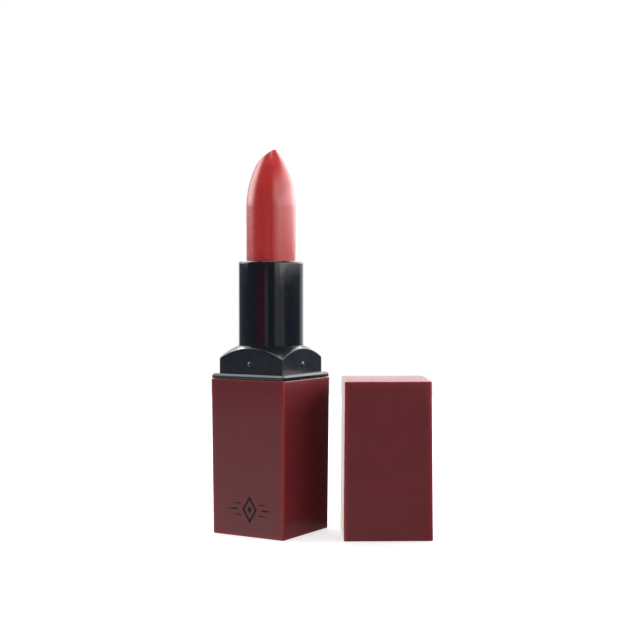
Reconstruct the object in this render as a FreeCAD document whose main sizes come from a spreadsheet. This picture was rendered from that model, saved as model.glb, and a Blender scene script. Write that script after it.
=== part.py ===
import FreeCAD, Part
import math
import os

import Sketcher
from FreeCAD import Placement, Vector

# Square twist-up lipstick case, millimetres, +Z up.
# The origin is the middle of the underside of the base, on the axis of the bullet.
# The stick stands open with its bullet turned fully out, and the cap stands beside it.
# Turning the collar on the base drives two lugs down a two-start spiral groove while
# two straight slots keep them from turning, so the bullet sinks without rotating.

SIZES = {
    # square outside, shared by the base and the cap: side at the mouth, draft in degrees
    "side": 21.1,
    "draft": 0.48,
    "shell_height": 37.65,
    "shell_wall": 0.75,
    "shell_end": 1.2,
    "upright_round": 0.5,
    "rim_round": 0.22,
    # collar: flange, domed square shoulder, hub that turns in the base
    "flange_side": 20.9,
    "flange_low": 37.73,
    "flange_top": 38.93,
    "flange_round": 0.2,
    "flange_chamfer": 0.48,
    "shoulder_side": 18.14,
    "shoulder_round": 0.3,
    "arch_round": 0.18,
    "dome_radius": 19.6,
    "dome_centre": 27.72,
    "hub_radius": 8.75,
    "hub_low": 30.2,
    "corner_pocket_side": 16.2,
    "corner_pocket_top": 41.4,
    "nub_height": 41.19,
    "nub_reach": 0.35,
    "nub_ball": 0.98,
    # metal outer tube with its rolled rim
    "tube_radius": 7.97,
    "tube_wall": 0.37,
    "tube_low": 19.8,
    "tube_top": 66.11,
    "tube_rim_round": 0.55,
    "tube_mouth_radius": 6.6,
    # spiral sleeve
    "sleeve_bore": 6.97,
    "sleeve_top": 64.4,
    "lead": 20.0,
    "groove_radius": 7.4,
    "groove_tall": 2.19,
    "groove_overrun": 1.0,
    "travel": 30.0,
    # slotted guide tube and its foot
    "guide_radius": 6.9,
    "guide_bore": 6.5,
    "guide_lip_radius": 7.25,
    "guide_lip_low": 64.5,
    "guide_top": 65.1,
    "foot_radius": 7.9,
    "foot_low": 18.0,
    "foot_top": 19.0,
    "slot_wide": 2.0,
    # friction ring between the foot and the sleeve
    "ring_middle": 7.22,
    "ring_thick": 0.6,
    # carrier cup
    "cup_radius": 6.42,
    "cup_low": 53.0,
    "cup_floor": 1.9,
    "cup_top": 64.6,
    "cup_drain": 1.5,
    "lug_height": 54.0,
    "lug_wide": 1.8,
    "lug_reach": 7.25,
    # lipstick
    "bullet_radius": 6.05,
    "bullet_straight_top": 79.0,
    "bullet_nose_arc": 24.3,
    "facet_top": 93.42,
    "facet_reach": 1.3,
    "facet_rise": 0.836,
    "facet_yaw": 6.7,
    # insert inside the base, with the weight pressed into its skirt
    "core_top": 36.9,
    "core_floor_low": 16.8,
    "core_tube_bore": 8.35,
    "core_hub_bore": 8.8,
    "core_hub_low": 29.8,
    "core_relief_wide": 13.0,
    "core_relief_deep": 0.6,
    "weight_side": 17.4,
    "weight_tall": 8.0,
    "weight_round": 1.0,
    # blank shade label on the underside
    "label_side": 12.0,
    "label_thick": 0.12,
    "label_round": 1.0,
    # cap: liner, steel plate, and where it stands
    "liner_side": 18.4,
    "liner_low": 0.4,
    "liner_roof": 33.0,
    "liner_end": 0.9,
    "detent_height": 2.26,
    "detent_wide": 1.9,
    "detent_deep": 0.28,
    "plate_side": 16.4,
    "cap_x": 25.8,
    "cap_y": 11.25,
    "cap_yaw": 32.77,
}


def fill_sheet(doc):
    """Write every driving dimension into the sheet, one alias per row."""
    sheet = doc.addObject("Spreadsheet::Sheet", "sizes")
    for row, (alias, value) in enumerate(SIZES.items(), start=1):
        sheet.set(f"A{row}", alias)
        sheet.set(f"B{row}", str(value))
        sheet.setAlias(f"B{row}", alias)
    doc.recompute()
    return sheet


def origin_item(body, role):
    """Return the plane or axis of the body's own origin with this role."""
    return next(item for item in body.Origin.OriginFeatures if item.Role == role)


def new_sketch(body, role, name, offset="0"):
    """Attach a sketch to an origin plane, lifted along its normal by offset."""
    sketch = body.newObject("Sketcher::SketchObject", name)
    sketch.AttachmentSupport = (origin_item(body, role), [""])
    sketch.MapMode = "FlatFace"
    sketch.setExpression("AttachmentOffset.Base.z", offset)
    return sketch


def bind_point(sketch, edge, end, across, up):
    """Hold one end of an edge at two distances from the origin taken from the sheet."""
    for kind, expression in (("DistanceX", across), ("DistanceY", up)):
        value = float(sketch.evalExpression(expression))
        row = sketch.addConstraint(Sketcher.Constraint(kind, -1, 1, edge, end, value))
        sketch.setExpression(f"Constraints[{row}]", expression)


def bind_radius(sketch, edge, expression):
    value = float(sketch.evalExpression(expression))
    row = sketch.addConstraint(Sketcher.Constraint("Radius", edge, value))
    sketch.setExpression(f"Constraints[{row}]", expression)


def draw_outline(sketch, corners, arcs=()):
    """Draw a closed outline through the corners.

    arcs maps the number of a side to (radius, across, up), where the last two are a point
    on the arc, and every other side is a straight line. A sketch keeps only arcs that run
    anticlockwise, so a clockwise side is drawn from its far end.
    """
    arcs = dict(arcs)
    places = [
        Vector(float(sketch.evalExpression(across)), float(sketch.evalExpression(up)), 0)
        for across, up in corners
    ]
    total = len(corners)
    ends = []
    for side in range(total):
        first = places[side]
        last = places[(side + 1) % total]
        if side not in arcs:
            sketch.addGeometry(Part.LineSegment(first, last))
            ends.append((1, 2))
            continue
        middle = Vector(*[float(sketch.evalExpression(text)) for text in arcs[side][1:]], 0)
        leftward = (middle - first).cross(last - middle).z > 0
        if leftward:
            sketch.addGeometry(Part.Arc(first, middle, last))
        else:
            sketch.addGeometry(Part.Arc(last, middle, first))
        ends.append((1, 2) if leftward else (2, 1))
    for side in range(total):
        following = (side + 1) % total
        joined = Sketcher.Constraint(
            "Coincident", side, ends[side][1], following, ends[following][0]
        )
        sketch.addConstraint(joined)
    for side, (across, up) in enumerate(corners):
        bind_point(sketch, side, ends[side][0], across, up)
    for side, arc in arcs.items():
        bind_radius(sketch, side, arc[0])


def square_corners(half):
    return [
        (f"-({half})", f"-({half})"),
        (half, f"-({half})"),
        (half, half),
        (f"-({half})", half),
    ]


def draw_circle(sketch, across, up, radius):
    """Draw a circle whose middle and radius follow the sheet."""
    middle = Vector(float(sketch.evalExpression(across)), float(sketch.evalExpression(up)), 0)
    size = float(sketch.evalExpression(radius))
    edge = sketch.addGeometry(Part.Circle(middle, Vector(0, 0, 1), size))
    bind_point(sketch, edge, 3, across, up)
    bind_radius(sketch, edge, radius)


def extrude(body, kind, name, sketch, length, reverse=False, both_ways=False, taper="0"):
    """Pad or pocket a sketch by a length from the sheet, and check that it does something.

    A positive taper widens the outline along the way, and a negative one narrows it.
    """
    body.Document.recompute()
    before = body.Shape.Volume if body.Tip else 0.0
    feature = body.newObject(f"PartDesign::{kind}", name)
    feature.Profile = sketch
    feature.setExpression("Length", length)
    feature.setExpression("TaperAngle", taper)
    feature.Reversed = reverse
    if both_ways:
        feature.SideType = "Symmetric"
    body.Document.recompute()
    if abs(body.Shape.Volume - before) < 1e-3:
        raise RuntimeError(f"{body.Label}: {name} changes nothing")
    return feature


def spin(body, kind, name, corners, arcs=()):
    """Turn an outline of (radius, height) corners about the Z axis."""
    sketch = new_sketch(body, "XZ_Plane", f"{name}_outline")
    draw_outline(sketch, corners, arcs)
    body.Document.recompute()
    before = body.Shape.Volume if body.Tip else 0.0
    feature = body.newObject(f"PartDesign::{kind}", name)
    feature.Profile = sketch
    feature.ReferenceAxis = (sketch, ["V_Axis"])
    feature.Angle = 360
    body.Document.recompute()
    if abs(body.Shape.Volume - before) < 1e-3:
        raise RuntimeError(f"{body.Label}: {name} changes nothing")
    return feature


def repeat_round(body, name, feature, times):
    """Repeat a feature evenly about the Z axis."""
    pattern = body.newObject("PartDesign::PolarPattern", name)
    pattern.Originals = [feature]
    pattern.Axis = (origin_item(body, "Z_Axis"), [""])
    pattern.Angle = 360
    pattern.Occurrences = times
    body.Tip = pattern
    body.Document.recompute()
    return pattern


def dress_edges(body, kind, name, chosen):
    """Start a fillet or chamfer on the edges of the present solid that the test picks out."""
    base = body.Tip
    names = [f"Edge{i}" for i, edge in enumerate(base.Shape.Edges, start=1) if chosen(edge)]
    if not names:
        raise RuntimeError(f"{body.Label}: {name} finds no edge")
    dressing = body.newObject(f"PartDesign::{kind}", name)
    dressing.Base = (base, names)
    return dressing


def round_edges(body, name, radius, chosen):
    """Fillet the edges that the test picks out."""
    dress_edges(body, "Fillet", name, chosen).setExpression("Radius", radius)
    body.Document.recompute()


def bevel_edges(body, name, size, chosen):
    """Chamfer at 45 degrees the edges that the test picks out."""
    dress_edges(body, "Chamfer", name, chosen).setExpression("Size", size)
    body.Document.recompute()


def corner_uprights(half, tolerance=0.4):
    """Pick the upright edges at the four corners of a square of about this half width."""
    def chosen(edge):
        box = edge.BoundBox
        upright = max(box.XLength, box.YLength) < tolerance < box.ZLength
        off_corner = max(abs(abs(box.Center.x) - half), abs(abs(box.Center.y) - half))
        return upright and off_corner < tolerance
    return chosen


def outline_at(height, reach, tolerance=0.01):
    """Pick the level edges at this height that stay at least this far out from the axis."""
    def chosen(edge):
        box = edge.BoundBox
        level = box.ZLength < tolerance and abs(box.Center.z - height) < tolerance
        middle = edge.valueAt((edge.FirstParameter + edge.LastParameter) / 2)
        return level and max(abs(middle.x), abs(middle.y)) > reach
    return chosen


def new_body(doc, name):
    body = doc.addObject("PartDesign::Body", name)
    body.Label = name
    body.Placement = Placement()
    return body


def square_block(body, name, half, low, length, taper="0"):
    sketch = new_sketch(body, "XY_Plane", f"{name}_outline", low)
    draw_outline(sketch, square_corners(half))
    return extrude(body, "Pad", name, sketch, length, taper=taper)


def square_hollow(body, name, half, opening, depth, upward=False, taper="0"):
    """Cut a square hollow, downward from the opening unless upward is set."""
    sketch = new_sketch(body, "XY_Plane", f"{name}_outline", opening)
    draw_outline(sketch, square_corners(half))
    return extrude(body, "Pocket", name, sketch, depth, reverse=upward, taper=taper)


def round_hollow(body, name, radius, opening, depth, upward=False):
    sketch = new_sketch(body, "XY_Plane", f"{name}_outline", opening)
    draw_circle(sketch, "0", "0", radius)
    return extrude(body, "Pocket", name, sketch, depth, reverse=upward)


def stand_cap_piece(body):
    """Put a piece of the cap where the cap stands, turned as it stands."""
    body.setExpression("Placement.Base.x", "sizes.cap_x")
    body.setExpression("Placement.Base.y", "sizes.cap_y")
    body.setExpression("Placement.Rotation.Angle", "sizes.cap_yaw")


def drafted_half(half, distance):
    """Half width of a drafted square, this far from where it has the given half width."""
    return f"{half} - ({distance}) * tan(sizes.draft)"


def round_shell(body, foot_half, top_half):
    """Round the uprights, foot and top of a burgundy shell."""
    round_edges(body, "uprights", "sizes.upright_round", corner_uprights((foot_half + top_half) / 2))
    round_edges(body, "foot_rim", "sizes.rim_round", outline_at(0, foot_half - 1))
    round_edges(body, "top_rim", "sizes.rim_round", outline_at(SIZES["shell_height"], top_half - 1))


def closed_half():
    """Half width of a burgundy shell at its closed end, in millimetres."""
    return SIZES["side"] / 2 - SIZES["shell_height"] * math.tan(math.radians(SIZES["draft"]))


def make_base_shell(doc):
    """Soft-touch square shell of the base, closed below, with a recess for the label."""
    body = new_body(doc, "base_shell")
    foot = drafted_half("sizes.side / 2", "sizes.shell_height")
    square_block(body, "block", foot, "0", "sizes.shell_height", taper="sizes.draft")
    round_shell(body, closed_half(), SIZES["side"] / 2)
    depth = "sizes.shell_height - sizes.shell_end"
    inside = "sizes.side / 2 - sizes.shell_wall"
    square_hollow(body, "hollow", inside, "sizes.shell_height", depth, taper="-sizes.draft")
    square_hollow(body, "label_recess", "sizes.label_side / 2", "0", "sizes.label_thick", upward=True)
    round_edges(body, "recess_corners", "sizes.label_round", label_corner)
    return body


def label_corner(edge):
    """Pick the short vertical edges at the corners of the label and of its recess."""
    box = edge.BoundBox
    half = SIZES["label_side"] / 2
    upright = box.XLength < 0.01 and box.YLength < 0.01
    return upright and abs(abs(box.Center.x) - half) < 0.01 and abs(abs(box.Center.y) - half) < 0.01


def make_bottom_label(doc):
    """Blank shade label, flush with the underside."""
    body = new_body(doc, "bottom_label")
    square_block(body, "sheet", "sizes.label_side / 2", "0", "sizes.label_thick")
    round_edges(body, "corners", "sizes.label_round", label_corner)
    return body


def make_base_weight(doc):
    """Steel slug that gives the base its heft."""
    body = new_body(doc, "base_weight")
    square_block(body, "slug", "sizes.weight_side / 2", "sizes.shell_end", "sizes.weight_tall")
    round_edges(body, "corners", "sizes.weight_round", corner_uprights(SIZES["weight_side"] / 2))
    return body


def make_base_core(doc):
    """Black insert: skirt round the weight, floor for the foot, bores for sleeve and hub."""
    body = new_body(doc, "base_core")
    inside = "sizes.side / 2 - sizes.shell_wall"
    foot = drafted_half(inside, "sizes.shell_height - sizes.shell_end")
    height = "sizes.core_top - sizes.shell_end"
    square_block(body, "block", foot, "sizes.shell_end", height, taper="sizes.draft")
    skirt_depth = "sizes.core_floor_low - sizes.shell_end"
    square_hollow(body, "skirt", "sizes.weight_side / 2", "sizes.shell_end", skirt_depth, upward=True)
    round_edges(body, "skirt_corners", "sizes.weight_round", corner_uprights(SIZES["weight_side"] / 2))
    for name, radius, floor in (
        ("foot_seat", "sizes.foot_radius", "sizes.foot_low"),
        ("tube_room", "sizes.core_tube_bore", "sizes.foot_top"),
        ("hub_bore", "sizes.core_hub_bore", "sizes.core_hub_low"),
    ):
        round_hollow(body, name, radius, "sizes.core_top", f"sizes.core_top - {floor}")
    relief = new_sketch(body, "YZ_Plane", "relief_outline", inside)
    wide = "sizes.core_relief_wide / 2"
    low = "sizes.shell_end + 2"
    high = "sizes.core_floor_low - 1"
    draw_outline(relief, [(f"-{wide}", low), (wide, low), (wide, high), (f"-{wide}", high)])
    cut = extrude(body, "Pocket", "relief", relief, "sizes.core_relief_deep")
    repeat_round(body, "reliefs", cut, 4)
    return body


def make_inner_tube(doc):
    """Guide tube: closed foot, two straight slots, and a lip that holds the sleeve down."""
    body = new_body(doc, "inner_tube")
    spin(body, "Revolution", "tube", [
        ("0", "sizes.foot_low"),
        ("sizes.foot_radius", "sizes.foot_low"),
        ("sizes.foot_radius", "sizes.foot_top"),
        ("sizes.guide_radius", "sizes.foot_top"),
        ("sizes.guide_radius", "sizes.guide_lip_low"),
        ("sizes.guide_lip_radius", "sizes.guide_lip_low"),
        ("sizes.guide_lip_radius", "sizes.guide_top"),
        ("sizes.guide_bore", "sizes.guide_top"),
        ("sizes.guide_bore", "sizes.foot_top"),
        ("0", "sizes.foot_top"),
    ])
    slot = new_sketch(body, "YZ_Plane", "slot_outline")
    wide = "sizes.slot_wide / 2"
    low = "sizes.lug_height - sizes.travel - sizes.groove_overrun - sizes.lug_wide / 2"
    high = "sizes.lug_height + sizes.groove_overrun + sizes.lug_wide / 2"
    draw_outline(slot, [(f"-{wide}", low), (wide, low), (wide, high), (f"-{wide}", high)])
    extrude(body, "Pocket", "slots", slot, "4 * sizes.guide_radius", both_ways=True)
    return body


def make_friction_ring(doc):
    """Small elastic ring that gives the twist its drag."""
    body = new_body(doc, "friction_ring")
    half = "sizes.ring_thick / 2"
    inner = f"sizes.ring_middle - {half}"
    outer = f"sizes.ring_middle + {half}"
    low = "sizes.foot_top"
    high = "sizes.foot_top + sizes.ring_thick"
    middle = f"sizes.foot_top + {half}"
    chamfer = "sizes.ring_thick / 4"
    spin(body, "Revolution", "ring", [
        (f"{inner} + {chamfer}", low),
        (f"{outer} - {chamfer}", low),
        (outer, middle),
        (f"{outer} - {chamfer}", high),
        (f"{inner} + {chamfer}", high),
        (inner, middle),
    ])
    return body


def make_spiral_sleeve(doc):
    """Sleeve with a two-start right-handed groove inside for the carrier's lugs."""
    body = new_body(doc, "spiral_sleeve")
    outer = "sizes.tube_radius - sizes.tube_wall"
    spin(body, "Revolution", "sleeve", [
        ("sizes.sleeve_bore", "sizes.tube_low"),
        (outer, "sizes.tube_low"),
        (outer, "sizes.sleeve_top"),
        ("sizes.sleeve_bore", "sizes.sleeve_top"),
    ])
    profile = new_sketch(body, "XZ_Plane", "groove_outline")
    inside = "sizes.sleeve_bore - 0.2"
    low = "sizes.lug_height - sizes.travel - sizes.groove_overrun - sizes.groove_tall / 2"
    high = "sizes.lug_height - sizes.travel - sizes.groove_overrun + sizes.groove_tall / 2"
    draw_outline(profile, [
        (inside, low),
        ("sizes.groove_radius", low),
        ("sizes.groove_radius", high),
        (inside, high),
    ])
    doc.recompute()
    groove = body.newObject("PartDesign::SubtractiveHelix", "groove")
    groove.Profile = profile
    groove.ReferenceAxis = (profile, ["V_Axis"])
    groove.Mode = "pitch-height-angle"
    groove.setExpression("Pitch", "sizes.lead")
    groove.setExpression("Height", "sizes.travel + 2 * sizes.groove_overrun")
    doc.recompute()
    repeat_round(body, "two_starts", groove, 2)
    # The groove starts one overrun below the sunk lugs, so it is turned back to meet them.
    body.setExpression("Placement.Rotation.Angle", "-360 * sizes.groove_overrun / sizes.lead")
    return body


def make_outer_tube(doc):
    """Gloss tube whose rolled rim hides the ends of the sleeve and the guide tube."""
    body = new_body(doc, "outer_tube")
    bore = "sizes.tube_radius - sizes.tube_wall"
    bend = "sizes.tube_rim_round"
    shoulder = f"sizes.tube_radius - {bend}"
    spin(body, "Revolution", "tube", [
        (bore, "sizes.tube_low"),
        ("sizes.tube_radius", "sizes.tube_low"),
        ("sizes.tube_radius", f"sizes.tube_top - {bend}"),
        (shoulder, "sizes.tube_top"),
        ("sizes.tube_mouth_radius", "sizes.tube_top"),
        ("sizes.tube_mouth_radius", "sizes.tube_top - sizes.tube_wall"),
        (bore, "sizes.tube_top - sizes.tube_wall"),
    ], {
        2: (bend, f"{shoulder} + {bend} * 0.70711", f"sizes.tube_top - {bend} * 0.29289"),
    })
    return body


def make_collar(doc):
    """Flange, domed square shoulder with four catch nubs, and the hub that turns in the base."""
    body = new_body(doc, "collar")
    square_block(
        body, "flange", "sizes.flange_side / 2", "sizes.flange_low", "sizes.flange_top - sizes.flange_low"
    )
    flange_half = SIZES["flange_side"] / 2
    round_edges(body, "flange_uprights", "sizes.upright_round", corner_uprights(flange_half))
    under_edge = outline_at(SIZES["flange_low"], flange_half - 1)
    round_edges(body, "flange_under_edge", "sizes.flange_round", under_edge)
    top_edge = outline_at(SIZES["flange_top"], flange_half - 1)
    bevel_edges(body, "flange_top_edge", "sizes.flange_chamfer", top_edge)
    square_block(
        body,
        "shoulder",
        "sizes.shoulder_side / 2",
        "sizes.flange_top",
        "sizes.dome_centre + sizes.dome_radius - sizes.flange_top",
    )
    shoulder_half = SIZES["shoulder_side"] / 2
    round_edges(body, "shoulder_uprights", "sizes.shoulder_round", corner_uprights(shoulder_half))
    reach = "sizes.shoulder_side"
    outer_fall = f"sizes.dome_centre + sqrt(sizes.dome_radius ^ 2 - ({reach}) ^ 2)"
    dome_top = "sizes.dome_centre + sizes.dome_radius"
    spin(body, "Groove", "dome", [
        ("0", dome_top),
        (reach, outer_fall),
        (reach, f"{dome_top} + 1"),
        ("0", f"{dome_top} + 1"),
    ], {
        0: (
            "sizes.dome_radius",
            "sizes.dome_radius * 0.5",
            "sizes.dome_centre + sizes.dome_radius * 0.8660254",
        ),
    })
    round_edges(body, "arches", "sizes.arch_round", arch_edge)
    hub = new_sketch(body, "XY_Plane", "hub_outline", "sizes.hub_low")
    draw_circle(hub, "0", "0", "sizes.hub_radius")
    extrude(body, "Pad", "hub", hub, "sizes.flange_low - sizes.hub_low")
    add_nubs(body)
    round_hollow(body, "bore", "sizes.tube_radius", dome_top, f"{dome_top} - sizes.hub_low")
    hollow_corners(body)
    return body


def arch_edge(edge):
    """Pick the arched edges where the dome meets the shoulder's upright faces."""
    half = SIZES["shoulder_side"] / 2
    box = edge.BoundBox
    on_face = (box.XLength < 0.01 and abs(abs(box.Center.x) - half) < 0.01) or (
        box.YLength < 0.01 and abs(abs(box.Center.y) - half) < 0.01
    )
    return on_face and box.ZLength > 1 and max(box.XLength, box.YLength) > 5


def add_nubs(body):
    """Four low rounded nubs, one in the middle of each shoulder face."""
    centre = "sizes.shoulder_side / 2 + sizes.nub_reach - sizes.nub_ball"
    nub = body.newObject("PartDesign::AdditiveSphere", "nub")
    nub.setExpression("Radius", "sizes.nub_ball")
    nub.AttachmentSupport = (origin_item(body, "XY_Plane"), [""])
    nub.MapMode = "FlatFace"
    nub.setExpression("AttachmentOffset.Base.x", centre)
    nub.setExpression("AttachmentOffset.Base.z", "sizes.nub_height")
    body.Document.recompute()
    repeat_round(body, "nubs", nub, 4)


def hollow_corners(body):
    """Core out the four corners from below, between the hub and the shoulder's walls."""
    sketch = new_sketch(body, "XY_Plane", "corner_outline", "sizes.flange_low")
    half = "sizes.corner_pocket_side / 2"
    across = f"sqrt(sizes.hub_radius ^ 2 - ({half}) ^ 2)"
    draw_outline(sketch, [(half, across), (half, half), (across, half)], {
        2: ("sizes.hub_radius", "sizes.hub_radius * 0.70711", "sizes.hub_radius * 0.70711"),
    })
    depth = "sizes.corner_pocket_top - sizes.flange_low"
    pocket = extrude(body, "Pocket", "corner_pocket", sketch, depth, reverse=True)
    repeat_round(body, "corner_pockets", pocket, 4)


def make_carrier_cup(doc):
    """Cup that grips the lipstick, with a lug on each side at its floor."""
    body = new_body(doc, "carrier_cup")
    floor_top = "sizes.cup_low + sizes.cup_floor"
    spin(body, "Revolution", "cup", [
        ("sizes.cup_drain", "sizes.cup_low"),
        ("sizes.cup_radius", "sizes.cup_low"),
        ("sizes.cup_radius", "sizes.cup_top"),
        ("sizes.bullet_radius", "sizes.cup_top"),
        ("sizes.bullet_radius", floor_top),
        ("sizes.cup_drain", floor_top),
    ])
    for name, side in (("left_lug", "-1"), ("right_lug", "1")):
        start = f"{side} * (sizes.bullet_radius - 1)"
        sketch = new_sketch(body, "YZ_Plane", f"{name}_outline", start)
        draw_circle(sketch, "0", "sizes.lug_height", "sizes.lug_wide / 2")
        length = "sizes.lug_reach - sizes.bullet_radius + 1"
        extrude(body, "Pad", name, sketch, length, reverse=side == "-1")
    return body


def make_lipstick_bullet(doc):
    """Lipstick: a straight stick under a long pointed nose, with one slanted facet."""
    body = new_body(doc, "lipstick_bullet")
    low = "sizes.cup_low + sizes.cup_floor"
    start = "sizes.bullet_straight_top"
    # The nose is an arc tangent to the stick, which would come to a point on the axis.
    arc_middle = "(sizes.bullet_radius - sizes.bullet_nose_arc)"
    apex = f"{start} + sqrt(sizes.bullet_nose_arc ^ 2 - {arc_middle} ^ 2)"
    spin(body, "Revolution", "stick", [
        ("0", low),
        ("sizes.bullet_radius", low),
        ("sizes.bullet_radius", start),
        ("0", apex),
    ], {
        2: (
            "sizes.bullet_nose_arc",
            f"{arc_middle} + sizes.bullet_nose_arc * cos(20)",
            f"{start} + sizes.bullet_nose_arc * sin(20)",
        ),
    })
    facet = new_sketch(body, "XZ_Plane", "facet_outline")
    reach = "2 * sizes.bullet_radius"
    left = f"sizes.facet_top - ({reach} + sizes.facet_reach) * sizes.facet_rise"
    right = f"sizes.facet_top + ({reach} - sizes.facet_reach) * sizes.facet_rise"
    above = f"{right} + {reach}"
    draw_outline(facet, [(f"-{reach}", left), (reach, right), (reach, above), (f"-{reach}", above)])
    extrude(body, "Pocket", "facet", facet, "4 * sizes.bullet_radius", both_ways=True)
    body.setExpression("Placement.Rotation.Angle", "sizes.facet_yaw")
    return body


def make_cap_shell(doc):
    """Soft-touch square shell of the cap, closed above."""
    body = new_body(doc, "cap_shell")
    square_block(body, "block", "sizes.side / 2", "0", "sizes.shell_height", taper="-sizes.draft")
    round_shell(body, SIZES["side"] / 2, closed_half())
    depth = "sizes.shell_height - sizes.shell_end"
    inside = "sizes.side / 2 - sizes.shell_wall"
    square_hollow(body, "hollow", inside, "0", depth, upward=True, taper="-sizes.draft")
    stand_cap_piece(body)
    return body


def make_cap_liner(doc):
    """Black inner sleeve of the cap, with a small dimple in each wall for a nub."""
    body = new_body(doc, "cap_liner")
    outer = drafted_half("sizes.side / 2 - sizes.shell_wall", "sizes.liner_low")
    length = "sizes.liner_roof + sizes.liner_end - sizes.liner_low"
    square_block(body, "block", outer, "sizes.liner_low", length, taper="-sizes.draft")
    inner = "sizes.liner_side / 2"
    depth = "sizes.liner_roof - sizes.liner_low"
    square_hollow(body, "room", inner, "sizes.liner_low", depth, upward=True, taper="-sizes.draft")
    # The dimple's sketch lies inside the room, so that no skin is left over the dimple.
    sketch = new_sketch(body, "YZ_Plane", "detent_outline", f"{inner} - sizes.detent_deep")
    draw_circle(sketch, "0", "sizes.detent_height", "sizes.detent_wide / 2")
    detent = extrude(body, "Pocket", "detent", sketch, "2 * sizes.detent_deep", reverse=True)
    repeat_round(body, "detents", detent, 4)
    stand_cap_piece(body)
    return body


def make_cap_weight(doc):
    """Steel plate held between the liner's roof and the end of the cap."""
    body = new_body(doc, "cap_weight")
    low = "sizes.liner_roof + sizes.liner_end"
    thick = f"sizes.shell_height - sizes.shell_end - ({low})"
    square_block(body, "plate", "sizes.plate_side / 2", low, thick)
    round_edges(body, "corners", "sizes.weight_round", corner_uprights(SIZES["plate_side"] / 2))
    stand_cap_piece(body)
    return body


MAKERS = (
    make_base_shell,
    make_base_core,
    make_base_weight,
    make_bottom_label,
    make_inner_tube,
    make_friction_ring,
    make_collar,
    make_outer_tube,
    make_spiral_sleeve,
    make_carrier_cup,
    make_lipstick_bullet,
    make_cap_shell,
    make_cap_liner,
    make_cap_weight,
)


def check_document(doc, pieces):
    """Stop before anything is written if an object failed or a shape is not one sound solid."""
    for item in doc.Objects:
        if "Invalid" in item.State or "Error" in item.State:
            raise RuntimeError(f"{item.Label} failed: {item.State}")
    for piece in pieces:
        shape = piece.Shape
        if shape.isNull() or not shape.isValid() or len(shape.Solids) != 1:
            raise RuntimeError(f"{piece.Label} is not one valid solid")


def main():
    doc = FreeCAD.newDocument("lipstick_case")
    fill_sheet(doc)
    pieces = [make(doc) for make in MAKERS]
    doc.recompute()
    check_document(doc, pieces)
    os.makedirs("parts", exist_ok=True)
    for piece in pieces:
        piece.Shape.exportStep(f"parts/{piece.Label}.step")
        box = piece.Shape.BoundBox
        print(
            f"{piece.Label}: volume {piece.Shape.Volume:.1f}, "
            f"x {box.XMin:.2f} to {box.XMax:.2f}, y {box.YMin:.2f} to {box.YMax:.2f}, "
            f"z {box.ZMin:.2f} to {box.ZMax:.2f}"
        )


main()
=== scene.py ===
import math

import bmesh
import bpy
from mathutils import Matrix, Vector


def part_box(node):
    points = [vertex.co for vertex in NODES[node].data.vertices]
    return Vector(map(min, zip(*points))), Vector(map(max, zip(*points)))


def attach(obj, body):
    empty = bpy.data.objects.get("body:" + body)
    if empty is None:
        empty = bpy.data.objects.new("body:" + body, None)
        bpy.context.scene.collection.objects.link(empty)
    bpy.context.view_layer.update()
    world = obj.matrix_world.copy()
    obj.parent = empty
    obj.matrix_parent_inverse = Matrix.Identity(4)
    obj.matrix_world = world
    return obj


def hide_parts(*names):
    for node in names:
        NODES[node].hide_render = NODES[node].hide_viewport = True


# A square twist-up lipstick case in soft-touch burgundy and gloss black, standing open,
# with its cap standing beside it. Lengths below are millimetres until MM turns them into
# the scene's metres.

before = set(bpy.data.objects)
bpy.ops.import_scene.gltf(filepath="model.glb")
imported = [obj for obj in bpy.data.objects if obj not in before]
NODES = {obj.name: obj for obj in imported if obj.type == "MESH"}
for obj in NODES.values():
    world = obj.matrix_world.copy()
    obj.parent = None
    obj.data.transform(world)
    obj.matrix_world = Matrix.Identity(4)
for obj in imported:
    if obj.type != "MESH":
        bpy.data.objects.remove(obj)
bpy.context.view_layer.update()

MM = 0.001


def node_box(name):
    """Lowest and highest corners of a CAD node, in millimetres."""
    low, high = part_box(name)
    return Vector(low) / MM, Vector(high) / MM


# --- sizes shared by the pieces -------------------------------------------------------

SHELL_TALL = node_box("base_shell")[1].z
MOUTH_HALF = 10.55
DRAFT = math.tan(math.radians(0.48))
UPRIGHT_ROUND = 0.5
RIM_ROUND = 0.22
SHELL_WALL = 0.75
SHELL_END = 1.2
SHELL_INNER_ROUND = 0.1
# Width of the band where the burgundy shells get their painted edge highlight.
EDGE_GLOW = 1.4
LABEL_HALF = 6.0
LABEL_ROUND = 1.0
LABEL_DEEP = 0.12

collar_low, collar_high = node_box("collar")
FLANGE_HALF = collar_high.x
FLANGE_LOW = 37.73
FLANGE_TOP = 38.93
FLANGE_ROUND = 0.2
FLANGE_CHAMFER = 0.48
SHOULDER_HALF = 9.07
SHOULDER_ROUND = 0.3
ARCH_ROUND = 0.18
DOME_RADIUS = 19.6
DOME_CENTRE = 27.72
HUB_RADIUS = 8.75
NUB_HEIGHT = 41.19
NUB_REACH = 0.35
NUB_FOOT = 0.75
NUB_SUNK = 0.2

tube_low, tube_high = node_box("outer_tube")
TUBE_RADIUS = tube_high.x
TUBE_WALL = 0.37
TUBE_MOUTH = 6.6
TUBE_RIM_ROUND = 0.55
TUBE_LIP_ROUND = 0.16

bullet_low, bullet_high = node_box("lipstick_bullet")
BULLET_RADIUS = bullet_high.x
NOSE_START = 79.0
NOSE_ARC = 24.3
FACET_TOP = 93.42
FACET_REACH = 1.3
FACET_RISE = 0.836
FACET_YAW = math.radians(6.7)
FACET_SOFTNESS = 0.12
FACET_FACING = 0.93

cap_low, cap_high = node_box("cap_shell")
CAP_MIDDLE = (cap_low + cap_high) / 2
CAP_YAW = math.radians(32.77)

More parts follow.
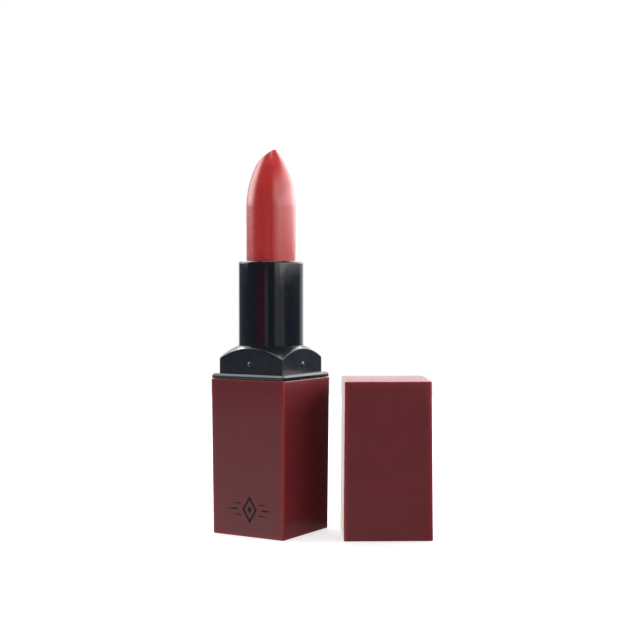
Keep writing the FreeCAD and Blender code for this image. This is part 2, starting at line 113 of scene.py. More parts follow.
ORNAMENT_MIDDLE = 0.6
ORNAMENT_HEIGHT = 6.6
ORNAMENT_THICK = 0.012
LOZENGE_WIDE = 2.1
LOZENGE_TALL = 3.3
LOZENGE_HOLE = 0.72
DOT_WIDE = 0.62
DOT_TALL = 0.97
STROKE_SWELL = 0.4
# Height above the lozenge's middle, near end, far end and half breadth of each stroke.
STROKES = (
    (0.0, 2.9, 6.6, 0.24),
    (1.35, 2.2, 5.0, 0.18),
    (-1.35, 2.2, 5.0, 0.18),
)


# --- mesh tools -----------------------------------------------------------------------

SMALLEST_ROUND = 0.02
MERGE_DISTANCE = 1e-8
TUBE_SEGMENTS = 192
BULLET_SEGMENTS = 240
NUB_SEGMENTS = 40
COLLAR_SIDE_STEPS = 28


def quadrant_signs(quadrant):
    """Signs of x and y in each quarter of the plane, anticlockwise from 0."""
    return (1 if quadrant in (0, 3) else -1), (1 if quadrant in (0, 1) else -1)


def rounded_square(half, radius, per_side=12, per_corner=8):
    """Points anticlockwise round a square whose corners are rounded."""
    radius = max(radius, SMALLEST_ROUND)
    reach = half - radius
    points = []
    for corner in range(4):
        start = corner * math.pi / 2
        middle = Vector(quadrant_signs(corner)) * reach
        for step in range(per_corner + 1):
            angle = start + step / per_corner * math.pi / 2
            points.append(middle + radius * Vector((math.cos(angle), math.sin(angle))))
        last = points[-1]
        turn = Matrix.Rotation(math.pi / 2, 2)
        following = turn @ points[-1 - per_corner]
        for step in range(1, per_side):
            points.append(last.lerp(following, step / per_side))
    return points


def circle_like(points, radius):
    """A circle with one point in the direction of each of the given points."""
    return [point.normalized() * radius for point in points]


def level(points, height):
    return [(point.x, point.y, height) for point in points]


def place_object(name, data):
    """A new object in the scene with the given mesh, lamp or camera."""
    thing = bpy.data.objects.new(name, data)
    bpy.context.scene.collection.objects.link(thing)
    return thing


def loft(name, rings, closed=False, cap_first=False, cap_last=False):
    """Skin a stack of rings with equal numbers of points, given in millimetres."""
    mesh = bpy.data.meshes.new(name)
    count = len(rings[0])
    vertices = [Vector(point) * MM for ring in rings for point in ring]
    faces = []
    pairs = len(rings) if closed else len(rings) - 1
    for row in range(pairs):
        here = row * count
        above = (row + 1) % len(rings) * count
        for step in range(count):
            beside = (step + 1) % count
            faces.append((here + step, here + beside, above + beside, above + step))
    if cap_first:
        faces.append(tuple(reversed(range(count))))
    if cap_last:
        start = (len(rings) - 1) * count
        faces.append(tuple(range(start, start + count)))
    mesh.from_pydata(vertices, [], faces)
    mesh.validate()
    shape = bmesh.new()
    shape.from_mesh(mesh)
    bmesh.ops.remove_doubles(shape, verts=shape.verts, dist=MERGE_DISTANCE)
    bmesh.ops.recalc_face_normals(shape, faces=shape.faces)
    shape.to_mesh(mesh)
    shape.free()
    piece = place_object(name, mesh)
    smooth(piece)
    return piece


def smooth(piece, angle=32):
    """Shade smoothly, with edges sharper than the angle kept crisp."""
    mesh = piece.data
    shape = bmesh.new()
    shape.from_mesh(mesh)
    for face in shape.faces:
        face.smooth = True
    for edge in shape.edges:
        edge.smooth = not edge.is_manifold or edge.calc_face_angle(0) < math.radians(angle)
    shape.to_mesh(mesh)
    shape.free()


def spokes(segments):
    """Angles of evenly spread spokes round a full turn."""
    return [2 * math.pi * step / segments for step in range(segments)]


def circle(radius, height, segments):
    return [
        (radius * math.cos(angle), radius * math.sin(angle), height)
        for angle in spokes(segments)
    ]


def quarter(steps):
    """Angles from 0 to a right angle, ends included."""
    return [math.pi / 2 * step / steps for step in range(steps + 1)]


def stand_in_for(piece, node, body):
    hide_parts(node)
    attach(piece, body)


def join(piece, others):
    """Merge the meshes of the others into the piece, and remove the others."""
    shape = bmesh.new()
    shape.from_mesh(piece.data)
    for other in others:
        shape.from_mesh(other.data)
        bpy.data.objects.remove(other)
    shape.to_mesh(piece.data)
    shape.free()


# --- material tools -------------------------------------------------------------------

def srgb(red, green, blue):
    """Turn display values from 0 to 255 into a linear colour."""
    values = []
    for value in (red, green, blue):
        value /= 255
        values.append(value / 12.92 if value <= 0.04045 else ((value + 0.055) / 1.055) ** 2.4)
    return (*values, 1.0)


class Wiring:
    """A node tree with the tools to fill it. Its place is the named texture coordinate."""

    def __init__(self, tree, coordinate):
        self.nodes = tree.nodes
        self.links = tree.links
        self.place = self.nodes.new("ShaderNodeTexCoord").outputs[coordinate]

    def link(self, source, target):
        self.links.new(source, target)

    def mix(self, factor, first, second):
        """Mix two colours, each a constant or another node's output."""
        node = self.nodes.new("ShaderNodeMix")
        node.data_type = "RGBA"
        self.link(factor, node.inputs["Factor"])
        sockets = [socket for socket in node.inputs if socket.type == "RGBA"]
        for socket, value in zip(sockets, (first, second)):
            if isinstance(value, tuple):
                socket.default_value = value
            else:
                self.link(value, socket)
        return next(socket for socket in node.outputs if socket.type == "RGBA")


class Surface(Wiring):
    """A material with its node tree and shader at hand."""

    def __init__(self, name, **sockets):
        self.material = bpy.data.materials.new(name)
        self.material.use_nodes = True
        super().__init__(self.material.node_tree, "Object")
        self.shader = self.nodes["Principled BSDF"]
        self.set(**sockets)

    def set(self, **sockets):
        """Set shader sockets by name, with underscores for the spaces."""
        for socket, value in sockets.items():
            self.shader.inputs[socket.replace("_", " ")].default_value = value

    def stretched(self, x, y, z):
        """Object coordinates scaled along each axis."""
        node = self.nodes.new("ShaderNodeMapping")
        node.inputs["Scale"].default_value = (x, y, z)
        self.link(self.place, node.inputs["Vector"])
        return node.outputs["Vector"]

    def noise(self, size, detail=3.0, roughness=0.5, vector=None):
        """Noise whose features are about the given size in millimetres."""
        node = self.nodes.new("ShaderNodeTexNoise")
        node.inputs["Scale"].default_value = 1 / (size * MM)
        node.inputs["Detail"].default_value = detail
        node.inputs["Roughness"].default_value = roughness
        self.link(vector or self.place, node.inputs["Vector"])
        return node.outputs["Fac"]

    def specks(self, size):
        """Distance to scattered points about the given size apart in millimetres."""
        node = self.nodes.new("ShaderNodeTexVoronoi")
        node.inputs["Scale"].default_value = 1 / (size * MM)
        self.link(self.place, node.inputs["Vector"])
        return node.outputs["Distance"]

    def ramp(self, source, low, high, bottom=0.0, top=1.0):
        """Map source from low..high onto bottom..top, held at the ends."""
        node = self.nodes.new("ShaderNodeMapRange")
        node.inputs["From Min"].default_value = low
        node.inputs["From Max"].default_value = high
        node.inputs["To Min"].default_value = bottom
        node.inputs["To Max"].default_value = top
        self.link(source, node.inputs["Value"])
        return node.outputs["Result"]

    def math(self, operation, first, second):
        node = self.nodes.new("ShaderNodeMath")
        node.operation = operation
        for slot, value in enumerate((first, second)):
            if isinstance(value, (int, float)):
                node.inputs[slot].default_value = value
            else:
                self.link(value, node.inputs[slot])
        return node.outputs[0]

    def highlight_and_polish_edge(self, radius):
        """1 on tight outside edges and 0 on flats, from how a rounded normal departs. It masks both
        a real edge polish and a painted edge highlight.
        """
        flush, curved = 0.999, 0.9
        bevel = self.nodes.new("ShaderNodeBevel")
        bevel.samples = 6
        bevel.inputs["Radius"].default_value = radius * MM
        flat = self.nodes.new("ShaderNodeNewGeometry")
        dot = self.nodes.new("ShaderNodeVectorMath")
        dot.operation = "DOT_PRODUCT"
        self.link(bevel.outputs["Normal"], dot.inputs[0])
        self.link(flat.outputs["Normal"], dot.inputs[1])
        return self.ramp(dot.outputs["Value"], flush, curved)

    def bump(self, *layers):
        """Stack bumps of (height, depth in millimetres)."""
        normal = None
        for height, depth in layers:
            node = self.nodes.new("ShaderNodeBump")
            node.inputs["Distance"].default_value = depth * MM
            self.link(height, node.inputs["Height"])
            if normal is not None:
                self.link(normal, node.inputs["Normal"])
            normal = node.outputs["Normal"]
        self.link(normal, self.shader.inputs["Normal"])

    def colour(self, source):
        self.link(source, self.shader.inputs["Base Color"])

    def roughness(self, source):
        self.link(source, self.shader.inputs["Roughness"])


# --- materials ------------------------------------------------------------------------

def shell_edge_highlight(surface):
    """0 on a shell's flats, rising to 1 at its upright edges and round its closed end: the mask of
    a painted edge highlight.
    """
    split = surface.nodes.new("ShaderNodeSeparateXYZ")
    surface.link(surface.place, split.inputs[0])
    across = surface.math("ABSOLUTE", split.outputs[0], 0.0)
    along = surface.math("ABSOLUTE", split.outputs[1], 0.0)
    height = split.outputs[2]
    lean = surface.math("MULTIPLY", surface.math("SUBTRACT", SHELL_TALL * MM, height), DRAFT)
    from_corner = surface.math("ADD", surface.math("MINIMUM", across, along), lean)
    from_side = surface.math("ADD", surface.math("MAXIMUM", across, along), lean)
    start = (MOUTH_HALF - EDGE_GLOW) * MM
    upright = surface.ramp(from_corner, start, MOUTH_HALF * MM)
    low = surface.ramp(height, EDGE_GLOW * MM, 0.0)
    rim = surface.math("MULTIPLY", low, surface.ramp(from_side, start, MOUTH_HALF * MM))
    return surface.math("POWER", surface.math("MAXIMUM", upright, rim), 2.0)


def soft_burgundy():
    """Soft-touch lacquer: very fine grain, faint cloudiness, slightly polished edges, and a painted
    highlight that colours the edges a brighter red.
    """
    surface = Surface("soft_burgundy", Roughness=0.24, Specular_IOR_Level=0.5)
    surface.set(Sheen_Weight=0.36, Sheen_Roughness=0.3, Sheen_Tint=srgb(255, 214, 212))
    cloud = surface.ramp(surface.noise(6.0, 4.0), 0.3, 0.7)
    body = surface.mix(cloud, srgb(106, 35, 40), srgb(112, 38, 43))
    grain = surface.noise(0.09, 2.0, 0.6)
    speckled = surface.mix(surface.ramp(grain, 0.35, 0.7, 0.0, 0.5), body, srgb(115, 39, 45))
    edge = surface.highlight_and_polish_edge(0.6)
    # Painted highlight: the edges' colour is lifted to a brighter red to stand for light caught on
    # the rounded edges.
    painted_edge_highlight = surface.math("MAXIMUM", shell_edge_highlight(surface), surface.math("MULTIPLY", edge, 0.7))
    surface.colour(surface.mix(painted_edge_highlight, speckled, srgb(160, 38, 49)))
    rub = surface.ramp(surface.noise(3.5, 5.0, 0.6), 0.3, 0.7, 0.21, 0.27)
    surface.roughness(surface.math("SUBTRACT", rub, surface.math("MULTIPLY", edge, 0.1)))
    surface.bump((grain, 0.004), (surface.noise(0.9, 3.0), 0.006))
    return surface.material


def gloss_black(name, tint, shine, scratch_stretch):
    """Polished black with a little orange peel, hairline scratches and a few dust specks."""
    surface = Surface(name, Roughness=shine, Specular_IOR_Level=0.42)
    surface.set(Coat_Weight=0.35, Coat_Roughness=0.05)
    cloud = surface.ramp(surface.noise(4.0, 3.0), 0.3, 0.7)
    plain = surface.mix(cloud, tint, tuple(1.18 * value for value in tint[:3]) + (1.0,))
    dust = surface.ramp(surface.specks(1.6), 0.045, 0.02)
    surface.colour(surface.mix(surface.math("MULTIPLY", dust, 0.35), plain, srgb(120, 122, 126)))
    lines = surface.noise(0.35, 2.0, 0.5, surface.stretched(*scratch_stretch))
    hair = surface.ramp(lines, 0.62, 0.7)
    rubbed = surface.ramp(surface.noise(2.5, 4.0), 0.35, 0.7, shine, shine + 0.07)
    surface.roughness(surface.math("ADD", rubbed, surface.math("MULTIPLY", hair, 0.1)))
    surface.bump((surface.noise(1.4, 2.0), 0.0014), (hair, 0.0006))
    return surface.material


def waxy_red(name, shine, specular):
    """Pressed lipstick: soft translucent wax with fine drag lines and a faint pearl."""
    surface = Surface(name, Roughness=shine, Specular_IOR_Level=specular)
    surface.set(Subsurface_Weight=0.1, Subsurface_Scale=0.9 * MM)
    surface.set(Subsurface_Radius=(1.0, 0.28, 0.2))
    surface.set(Coat_Weight=0.3 * specular, Coat_Roughness=shine)
    surface.set(Sheen_Weight=0.3 * specular, Sheen_Roughness=0.3)
    cloud = surface.ramp(surface.noise(5.0, 4.0), 0.3, 0.7)
    body = surface.mix(cloud, srgb(188, 35, 33), srgb(196, 39, 36))
    pearl = surface.ramp(surface.specks(0.13), 0.16, 0.05)
    surface.colour(surface.mix(surface.math("MULTIPLY", pearl, 0.04), body, srgb(214, 104, 98)))
    drag = surface.noise(0.5, 3.0, 0.55, surface.stretched(1.0, 1.0, 0.12))
    smear = surface.noise(1.8, 5.0, 0.6)
    surface.roughness(surface.ramp(smear, 0.3, 0.7, shine - 0.02, shine + 0.04))
    surface.bump((surface.noise(2.6, 1.0), 0.011), (drag, 0.001))
    return surface.material


def moulded(name, dark, light, roughness, grain_size=0.12):
    """Plain moulded plastic with spark-eroded grain and flow marks."""
    surface = Surface(name, Roughness=roughness, Specular_IOR_Level=0.45)
    flow = surface.noise(2.2, 3.0, 0.5, surface.stretched(1.0, 1.0, 0.3))
    surface.colour(surface.mix(surface.ramp(flow, 0.3, 0.7), dark, light))
    patch = surface.noise(1.1, 4.0)
    surface.roughness(surface.ramp(patch, 0.3, 0.7, roughness - 0.05, roughness + 0.08))
    surface.bump((surface.noise(grain_size, 2.0), 0.004))
    return surface.material


def plated_steel():
    """Stamped steel with a fine directional grain and a few duller patches."""
    surface = Surface("plated_steel", Metallic=1.0, Roughness=0.32)
    grain = surface.noise(0.12, 2.0, 0.5, surface.stretched(1.0, 0.06, 0.06))
    patch = surface.ramp(surface.noise(4.0, 4.0), 0.35, 0.7)
    surface.colour(surface.mix(patch, srgb(176, 178, 180), srgb(148, 149, 150)))
    surface.roughness(surface.ramp(grain, 0.3, 0.7, 0.24, 0.42))
    surface.bump((grain, 0.002))
    return surface.material


def label_paper():
    """Blank coated label stock with faint fibres."""
    surface = Surface("label_paper", Roughness=0.55)
    fibre = surface.noise(0.25, 5.0, 0.65, surface.stretched(1.0, 0.25, 1.0))
    pale = surface.ramp(fibre, 0.3, 0.7)
    surface.colour(surface.mix(pale, srgb(226, 221, 214), srgb(238, 235, 230)))
    surface.roughness(surface.ramp(fibre, 0.3, 0.7, 0.48, 0.62))
    surface.bump((fibre, 0.003))
    return surface.material


def foil_black():
    """Hot-stamped black foil, thin and a little broken up at small scale."""
    surface = Surface("foil_black", Roughness=0.5, Specular_IOR_Level=0.25)
    broken = surface.ramp(surface.noise(0.3, 4.0), 0.35, 0.65)
    surface.colour(surface.mix(broken, srgb(16, 14, 17), srgb(30, 25, 28)))
    surface.roughness(surface.ramp(broken, 0.0, 1.0, 0.45, 0.58))
    surface.bump((surface.noise(0.15, 2.0), 0.003))
    return surface.material


# --- pieces ---------------------------------------------------------------------------

def shell_ring(height, inset):
    """Ring of a burgundy shell at a height above its closed end, drawn in by inset."""
    half = MOUTH_HALF - (SHELL_TALL - height) * DRAFT - inset
    return level(rounded_square(half, UPRIGHT_ROUND - inset), height)


def shell_rings():
    """Rings of a square shell from inside its closed end, out over its edges, to its mouth.

    The closed end is below, at height 0, and the mouth is on top.
    """
    label = rounded_square(LABEL_HALF, LABEL_ROUND)
    rings = [level(label, LABEL_DEEP), level(label, 0)]
    for angle in quarter(6):
        inset = RIM_ROUND * (1 - math.sin(angle))
        rings.append(shell_ring(RIM_ROUND * (1 - math.cos(angle)), inset))
    for share in (0.25, 0.5, 0.75):
        rings.append(shell_ring(SHELL_TALL * share, 0))
    for angle in quarter(6):
        inset = RIM_ROUND * (1 - math.cos(angle))
        rings.append(shell_ring(SHELL_TALL - RIM_ROUND * (1 - math.sin(angle)), inset))
    for height in (SHELL_TALL, SHELL_END):
        inside = MOUTH_HALF - SHELL_WALL - (SHELL_TALL - height) * DRAFT
        rings.append(level(rounded_square(inside, SHELL_INNER_ROUND), height))
    return rings


def base_shell(material):
    piece = loft("base_skin", shell_rings(), cap_first=True, cap_last=True)
    piece.data.materials.append(material)
    stand_in_for(piece, "base_shell", "base")


def cap_shell(material):
    """The same shell upside down, without the label's recess, where the cap stands."""
    label_rings = 2
    piece = loft("cap_skin", shell_rings()[label_rings:], cap_first=True, cap_last=True)
    upside_down = Matrix.Translation((0, 0, SHELL_TALL * MM)) @ Matrix.Rotation(math.pi, 4, "X")
    spot = Matrix.Translation((CAP_MIDDLE.x * MM, CAP_MIDDLE.y * MM, 0))
    stand = spot @ Matrix.Rotation(CAP_YAW, 4, "Z")
    piece.matrix_world = stand @ upside_down
    piece.data.materials.append(material)
    stand_in_for(piece, "cap_shell", "cap")


def dome_height(point):
    return DOME_CENTRE + math.sqrt(DOME_RADIUS ** 2 - point.length_squared)


def flange_outline(inset):
    return rounded_square(FLANGE_HALF - inset, UPRIGHT_ROUND - inset, per_side=COLLAR_SIDE_STEPS)


def shoulder_outline(inset):
    return rounded_square(SHOULDER_HALF - inset, SHOULDER_ROUND - inset, per_side=COLLAR_SIDE_STEPS)


def flange_rings():
    """Rings up the edge of the flange, from its underside to its top."""
    rings = []
    for angle in quarter(5):
        outline = flange_outline(FLANGE_ROUND * (1 - math.sin(angle)))
        rings.append(level(outline, FLANGE_LOW + FLANGE_ROUND * (1 - math.cos(angle))))
    rings.append(level(flange_outline(0), FLANGE_TOP - FLANGE_CHAMFER))
    rings.append(level(flange_outline(FLANGE_CHAMFER), FLANGE_TOP))
    return rings


def shoulder_rings():
    """Rings up the shoulder's upright faces, over its arched edges and along its dome."""
    wall = shoulder_outline(0)
    tops = [dome_height(point) - ARCH_ROUND for point in wall]
    rings = []
    for share in (0, 0.05, 0.3, 0.6, 0.95):
        rings.append([
            (point.x, point.y, FLANGE_TOP + (top - FLANGE_TOP) * share)
            for point, top in zip(wall, tops)
        ])
    for angle in quarter(5):
        drawn_in = shoulder_outline(ARCH_ROUND * (1 - math.cos(angle)))
        drop = ARCH_ROUND * (1 - math.sin(angle))
        rings.append([(point.x, point.y, dome_height(point) - drop) for point in drawn_in])
    edge = shoulder_outline(ARCH_ROUND)
    mouth = circle_like(edge, TUBE_RADIUS)
    steps = 14
    for step in range(1, steps + 1):
        ring = [outer.lerp(inner, step / steps) for outer, inner in zip(edge, mouth)]
        rings.append([(point.x, point.y, dome_height(point)) for point in ring])
    return rings


def nub(turn):
    """Low rounded nub standing out of one shoulder face."""
    steps = 8
    ball = (NUB_FOOT ** 2 + NUB_REACH ** 2) / (2 * NUB_REACH)
    spread = math.asin(NUB_FOOT / ball)
    rings = []
    for step in range(steps):
        lean = spread * (1 - step / steps)
        out = SHOULDER_HALF + NUB_REACH - ball + ball * math.cos(lean)
        around = ball * math.sin(lean)
        rings.append([
            (out, around * math.cos(angle), NUB_HEIGHT + around * math.sin(angle))
            for angle in spokes(NUB_SEGMENTS)
        ])
    sunk = [(SHOULDER_HALF - NUB_SUNK, y, z) for _, y, z in rings[0]]
    piece = loft("nub", [sunk] + rings, cap_first=True, cap_last=True)
    piece.data.transform(Matrix.Rotation(turn, 4, "Z"))
    return piece


def collar(material):
    """Flange, shoulder, dome, bore and hub as one closed skin, with its four nubs."""
    outline = flange_outline(0)
    bore = circle_like(outline, TUBE_RADIUS)
    hub = circle_like(outline, HUB_RADIUS)
    hub_low = collar_low.z
    rings = [level(hub, FLANGE_LOW)]
    rings += flange_rings()
    rings += shoulder_rings()
    rings += [level(bore, hub_low), level(hub, hub_low)]
    piece = loft("collar_skin", rings, closed=True)
    join(piece, [nub(corner * math.pi / 2) for corner in range(4)])
    piece.data.materials.append(material)
    stand_in_for(piece, "collar", "collar")


def outer_tube(material):
    """Drawn tube with its rim rolled in over the ends of the inner tubes."""
    top = tube_high.z
    low = tube_low.z
    bore = TUBE_RADIUS - TUBE_WALL
    profile = [(bore, low), (TUBE_RADIUS, low)]
    for share in (0.25, 0.5, 0.75):
        profile.append((TUBE_RADIUS, low + (top - TUBE_RIM_ROUND - low) * share))
    for angle in quarter(10):
        profile.append((
            TUBE_RADIUS - TUBE_RIM_ROUND * (1 - math.cos(angle)),
            top - TUBE_RIM_ROUND * (1 - math.sin(angle)),
        ))
    for angle in quarter(6):
        profile.append((
            TUBE_MOUTH + TUBE_LIP_ROUND * (1 - math.sin(angle)),
            top - TUBE_LIP_ROUND * (1 - math.cos(angle)),
        ))
    profile += [(TUBE_MOUTH, top - TUBE_WALL), (bore, top - TUBE_WALL)]
    rings = [circle(radius, height, TUBE_SEGMENTS) for radius, height in profile]
    piece = loft("tube_skin", rings, closed=True)
    piece.data.materials.append(material)
    stand_in_for(piece, "outer_tube", "collar")


def nearer(first, second):
    """The smaller of two distances, eased where they meet."""
    overlap = max(FACET_SOFTNESS - abs(first - second), 0) / FACET_SOFTNESS
    return min(first, second) - overlap ** 2 * FACET_SOFTNESS / 4


def nose_distance(climb):
    """From the nose's middle to its arc, at an angle of climb above the level."""
    arc_middle = BULLET_RADIUS - NOSE_ARC
    along = arc_middle * math.cos(climb)
    return along + math.sqrt(along ** 2 + NOSE_ARC ** 2 - arc_middle ** 2)


def bullet(stem_material, facet_material):
    """Straight stem and long pointed nose, cut by one slanted facet with a soft edge."""
    across = Vector((math.cos(FACET_YAW), math.sin(FACET_YAW), 0))
    facing = (Vector((0, 0, 1)) - across * FACET_RISE).normalized()
    middle = Vector((0, 0, NOSE_START))
    peak = across * FACET_REACH + Vector((0, 0, FACET_TOP))
    depth = facing.dot(peak - middle)
    stem_rows = 26
    rings = []
    for step in range(stem_rows):
        height = bullet_low.z + (NOSE_START - bullet_low.z) * step / stem_rows
        rings.append(circle(BULLET_RADIUS, height, BULLET_SEGMENTS))
    nose_rows = 170
    crowding_to_tip = 1.6
    almost_level = 1e-6
    far_away = 1e6
    for row in range(nose_rows):
        climb = math.pi / 2 * (1 - (1 - row / nose_rows) ** crowding_to_tip)
        ring = []
        for angle in spokes(BULLET_SEGMENTS):
            way = Vector((
                math.cos(climb) * math.cos(angle),
                math.cos(climb) * math.sin(angle),
                math.sin(climb),
            ))
            slope = facing.dot(way)
            flat = depth / slope if slope > almost_level else far_away
            ring.append(tuple(middle + way * nearer(nose_distance(climb), flat)))
        rings.append(ring)
    piece = loft("bullet_wax", rings, cap_first=True, cap_last=True)
    smooth(piece, 60)
    piece.data.materials.append(stem_material)
    piece.data.materials.append(facet_material)
    for face in piece.data.polygons:
        face.material_index = int(face.normal.dot(facing) > FACET_FACING)
    stand_in_for(piece, "lipstick_bullet", "carrier")


def ornament_outlines():
    """Outlines of the mark: three tapering strokes on each side, a lozenge and its dot."""
    outlines = []
    for side in (-1, 1):
        for lift, start, end, broad in STROKES:
            widest = side * (start * (1 - STROKE_SWELL) + end * STROKE_SWELL)
            outlines.append([
                (side * start, lift),
                (widest, lift + broad),
                (side * end, lift),
                (widest, lift - broad),
            ])
    for quadrant in range(4):
        across, up = quadrant_signs(quadrant)
        outlines.append([
            (across * LOZENGE_WIDE, 0.0),
            (0.0, up * LOZENGE_TALL),
            (0.0, up * LOZENGE_TALL * LOZENGE_HOLE),
            (across * LOZENGE_WIDE * LOZENGE_HOLE, 0.0),
        ])
    outlines.append([(DOT_WIDE, 0.0), (0.0, DOT_TALL), (-DOT_WIDE, 0.0), (0.0, -DOT_TALL)])
    return outlines


def ornament(material):
    """Plain stamped mark, low on one sloping face of the base."""
    face = MOUTH_HALF - SHELL_TALL * DRAFT
    shape = bmesh.new()
    for outline in ornament_outlines():
        fronts = []
        backs = []
        for across, up in outline:
            height = ORNAMENT_HEIGHT + up
            place = Vector((ORNAMENT_MIDDLE + across, -face - height * DRAFT, height))
            raised = Vector((0, ORNAMENT_THICK, 0))
            fronts.append(shape.verts.new((place - raised) * MM))
            backs.append(shape.verts.new((place + raised) * MM))
        shape.faces.new(fronts)
        shape.faces.new(list(reversed(backs)))
        for step in range(len(outline)):
            after = (step + 1) % len(outline)
            shape.faces.new((fronts[step], backs[step], backs[after], fronts[after]))
    bmesh.ops.recalc_face_normals(shape, faces=shape.faces)
    mesh = bpy.data.meshes.new("base_ornament")
    shape.to_mesh(mesh)
    shape.free()
    piece = place_object("base_ornament", mesh)
    piece.data.materials.append(material)
    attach(piece, "base")


def finish_inner_parts():
    """Give every CAD node that stays its own finished material."""
    insert = moulded("insert_black", srgb(22, 23, 26), srgb(31, 32, 35), 0.4)
    natural = moulded("natural_plastic", srgb(205, 201, 192), srgb(219, 216, 208), 0.36)
    rubber = moulded("ring_rubber", srgb(20, 20, 20), srgb(34, 33, 33), 0.62, 0.06)
    steel = plated_steel()
    for name, material in (
        ("base_core", insert),
        ("carrier_cup", insert),
        ("cap_liner", insert),
        ("inner_tube", natural),
        ("spiral_sleeve", natural),
        ("friction_ring", rubber),
        ("base_weight", steel),
        ("cap_weight", steel),
        ("bottom_label", label_paper()),
    ):
        node = NODES[name]
        for slot in node.material_slots:
            slot.material = material


# --- studio ---------------------------------------------------------------------------

VIEW_TURN = math.radians(33.425)
VIEW_DISTANCE = 320.9
VIEW_HEIGHT = 60.16
VIEW_PAN = math.radians(2.148)
VIEW_DIP = math.radians(1.5)
LENS = 73.575
SENSOR = 36
LIT_HEIGHT = 0.05
TABLE_RADIUS = 0.4
TABLE_BELOW = 0.00002


def camera():
    eye = bpy.data.cameras.new("camera")
    eye.sensor_width = SENSOR
    eye.lens = LENS
    eye.clip_start = 0.01
    holder = place_object("camera", eye)
    holder.location = (
        VIEW_DISTANCE * math.sin(VIEW_TURN) * MM,
        -VIEW_DISTANCE * math.cos(VIEW_TURN) * MM,
        VIEW_HEIGHT * MM,
    )
    holder.rotation_euler = (math.pi / 2 - VIEW_DIP, 0, VIEW_TURN - VIEW_PAN)
    bpy.context.scene.camera = holder


def from_view(right, away, up):
    """A place given in metres to the right of, beyond and above the middle of the object."""
    across = Vector((math.cos(VIEW_TURN), math.sin(VIEW_TURN), 0))
    beyond = Vector((-math.sin(VIEW_TURN), math.cos(VIEW_TURN), 0))
    return across * right + beyond * away + Vector((0, 0, up))


def softbox(name, place, wide, tall, power, mirrored=True):
    """An area lamp aimed at the object, in metres and watts, seen in gloss if mirrored."""
    lamp = bpy.data.lights.new(name, "AREA")
    lamp.shape = "RECTANGLE"
    lamp.size = wide
    lamp.size_y = tall
    lamp.energy = power
    holder = place_object(name, lamp)
    holder.location = place
    holder.visible_camera = False
    holder.visible_glossy = mirrored
    aim = Vector((0, 0, LIT_HEIGHT)) - place
    holder.rotation_euler = aim.to_track_quat("-Z", "Y").to_euler()


def white_table():
    """Pale table that the object stands on, white but for a faint shadow round its foot."""
    shape = bmesh.new()
    bmesh.ops.create_circle(shape, cap_ends=True, segments=96, radius=TABLE_RADIUS)
    mesh = bpy.data.meshes.new("table")
    shape.to_mesh(mesh)
    shape.free()
    table = place_object("table", mesh)
    table.location.z = -TABLE_BELOW
    table.visible_diffuse = False
    table.visible_glossy = False
    surface = Surface("table_white", Roughness=0.75, Base_Color=(0.5, 0.5, 0.5, 1.0))
    surface.set(Emission_Color=(1.0, 1.0, 1.0, 1.0), Emission_Strength=0.6)
    surface.bump((surface.noise(0.6, 2.0), 0.003))
    mesh.materials.append(surface.material)


# What the object sees round it: bearings in degrees to the right of the viewer, and light.
LEVEL_PANELS = (
    (-180, (1.2, 1.2, 1.2)),
    (-165, (1.35, 1.35, 1.35)),
    (-154, (1.35, 1.35, 1.35)),
    (-144, (0.14, 0.17, 0.22)),
    (-54, (0.14, 0.17, 0.22)),
    (-49, (0.38, 0.10, 0.17)),
    (-23, (0.38, 0.10, 0.17)),
    (-20, (0.52, 0.52, 0.54)),
    (-11, (0.40, 0.40, 0.42)),
    (-7, (0.12, 0.14, 0.19)),
    (9, (0.13, 0.16, 0.21)),
    (17, (0.54, 0.54, 0.56)),
    (46, (0.54, 0.54, 0.56)),
    (52, (0.17, 0.2, 0.25)),
    (116, (0.11, 0.13, 0.17)),
    (134, (0.7, 0.7, 0.72)),
    (160, (1.0, 1.0, 1.0)),
    (180, (1.2, 1.2, 1.2)),
)
RAISED_PANELS = (
    (-180, (1.0, 1.0, 1.0)),
    (-140, (1.0, 1.0, 1.0)),
    (-130, (4.2, 4.2, 4.2)),
    (-94, (4.2, 4.2, 4.2)),
    (-88, (0.18, 0.18, 0.18)),
    (10, (0.18, 0.18, 0.18)),
    (18, (1.9, 1.9, 1.9)),
    (60, (2.0, 2.0, 2.0)),
    (100, (2.9, 2.9, 2.9)),
    (150, (2.9, 2.9, 2.9)),
    (160, (1.0, 1.0, 1.0)),
    (180, (1.0, 1.0, 1.0)),
)
HIGH_PANELS = (
    (-180, (0.3, 0.3, 0.3)),
    (-140, (0.4, 0.4, 0.4)),
    (-130, (3.1, 3.1, 3.1)),
    (-100, (3.1, 3.1, 3.1)),
    (-90, (0.2, 0.2, 0.2)),
    (10, (0.2, 0.2, 0.2)),
    (40, (0.3, 0.3, 0.3)),
    (150, (0.3, 0.3, 0.3)),
    (180, (0.3, 0.3, 0.3)),
)


def grey(light):
    return (light, light, light, 1.0)


PANEL_TILT = 0.008
# How far the way looked points up, left or back where each light takes over.
RAISED_BAND = (0.05, 0.105)
HIGH_BAND = (0.5, 0.72)
CEILING_BAND = (0.86, 0.93)
FLOOR_BAND = (-0.05, -0.16)
LEFT_BAND = (0.1, 0.9)
BACK_BAND = (0.8, 0.93)
CEILING = grey(0.25)
DARK_FLOOR = grey(0.17)
LEFT_FLOOR = grey(0.85)
BACK_FLOOR = (1.62, 1.46, 1.35, 1.0)
BACKDROP = grey(1.0)


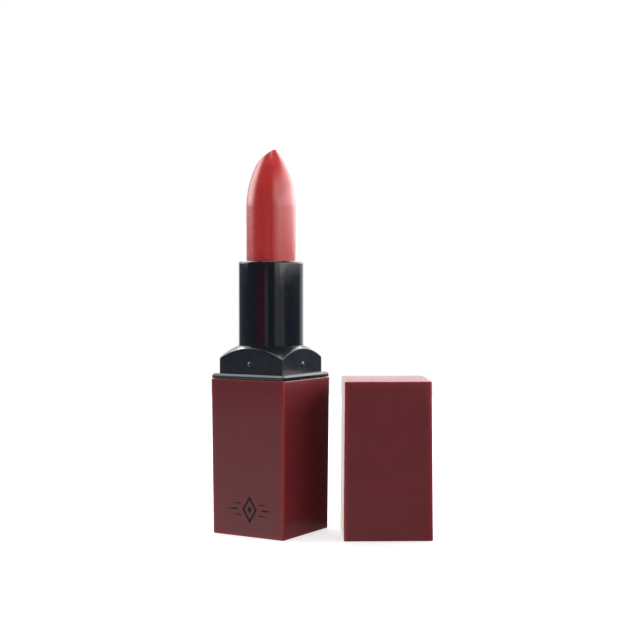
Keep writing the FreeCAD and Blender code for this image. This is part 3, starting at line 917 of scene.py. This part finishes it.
class Room(Wiring):
    """The world's nodes: what the object sees round it, by bearing and height."""

    def __init__(self):
        world = bpy.data.worlds.new("studio")
        bpy.context.scene.world = world
        world.use_nodes = True
        super().__init__(world.node_tree, "Generated")
        self.background = self.nodes["Background"]

    def along(self, direction):
        """How far the way looked points along a direction."""
        node = self.nodes.new("ShaderNodeVectorMath")
        node.operation = "DOT_PRODUCT"
        node.inputs[1].default_value = direction
        self.link(self.place, node.inputs[0])
        return node.outputs["Value"]

    def bearing(self):
        """0 to 1 for bearings from -180 to 180 degrees to the right of the viewer."""
        angle = self.nodes.new("ShaderNodeMath")
        angle.operation = "ARCTAN2"
        self.link(self.along(from_view(1, 0, 0)), angle.inputs[0])
        self.link(self.along(from_view(0, -1, 0)), angle.inputs[1])
        return self.remap(angle.outputs[0], -math.pi, math.pi, "LINEAR")

    def remap(self, source, low, high, interpolation="SMOOTHSTEP"):
        """Map source from low..high onto 0..1, held at the ends."""
        node = self.nodes.new("ShaderNodeMapRange")
        node.interpolation_type = interpolation
        node.inputs["From Min"].default_value = low
        node.inputs["From Max"].default_value = high
        self.link(source, node.inputs["Value"])
        return node.outputs["Result"]

    def panels(self, bearing, table):
        """Light from a table of bearings, evened out between its rows."""
        node = self.nodes.new("ShaderNodeValToRGB")
        stops = node.color_ramp.elements
        while len(stops) < len(table):
            stops.new(0.5)
        for stop, (turn, colour) in zip(stops, table):
            stop.position = (turn + 180) / 360
            stop.color = (*colour, 1.0)
        self.link(bearing, node.inputs["Fac"])
        return node.outputs["Color"]


def surroundings():
    """White backdrop, and a dim room with bright panels above the level of the table."""
    room = Room()
    up = room.along((0, 0, 1))
    bearing = room.bearing()
    light = room.panels(bearing, LEVEL_PANELS)
    panel_height = room.along(from_view(PANEL_TILT, 0, 1))
    raised = room.remap(panel_height, *RAISED_BAND)
    light = room.mix(raised, light, room.panels(bearing, RAISED_PANELS))
    light = room.mix(room.remap(up, *HIGH_BAND), light, room.panels(bearing, HIGH_PANELS))
    light = room.mix(room.remap(up, *CEILING_BAND), light, CEILING)
    left = room.remap(room.along(from_view(-0.9, -0.43, 0)), *LEFT_BAND)
    floor = room.mix(left, DARK_FLOOR, LEFT_FLOOR)
    back = room.remap(room.along(from_view(0, 1, 0)), *BACK_BAND)
    floor = room.mix(back, floor, BACK_FLOOR)
    light = room.mix(room.remap(up, *FLOOR_BAND), light, floor)
    seen = room.nodes.new("ShaderNodeLightPath").outputs["Is Camera Ray"]
    room.link(room.mix(seen, light, BACKDROP), room.background.inputs["Color"])


def studio():
    surroundings()
    white_table()
    softbox("overhead", from_view(0.0, 0.0, 0.65), 0.34, 0.34, 1.25)
    softbox("beyond", from_view(0.0, 0.5, 0.48), 0.6, 0.3, 3.0)
    softbox("front", from_view(-0.25, -0.6, 0.3), 0.3, 0.3, 0.34, mirrored=False)
    softbox("beside", from_view(0.1, 0.0, 0.093), 0.34, 0.04, 0.056)


def main():
    burgundy = soft_burgundy()
    base_shell(burgundy)
    cap_shell(burgundy)
    collar(gloss_black("collar_black", srgb(21, 26, 33), 0.15, (1.0, 1.0, 9.0)))
    outer_tube(gloss_black("tube_black", srgb(7, 10, 17), 0.07, (1.0, 1.0, 0.08)))
    bullet(waxy_red("waxy_red", 0.25, 0.75), waxy_red("cut_wax", 0.5, 0.15))
    ornament(foil_black())
    finish_inner_parts()
    camera()
    studio()
    bpy.context.scene.view_settings.view_transform = "Standard"


main()
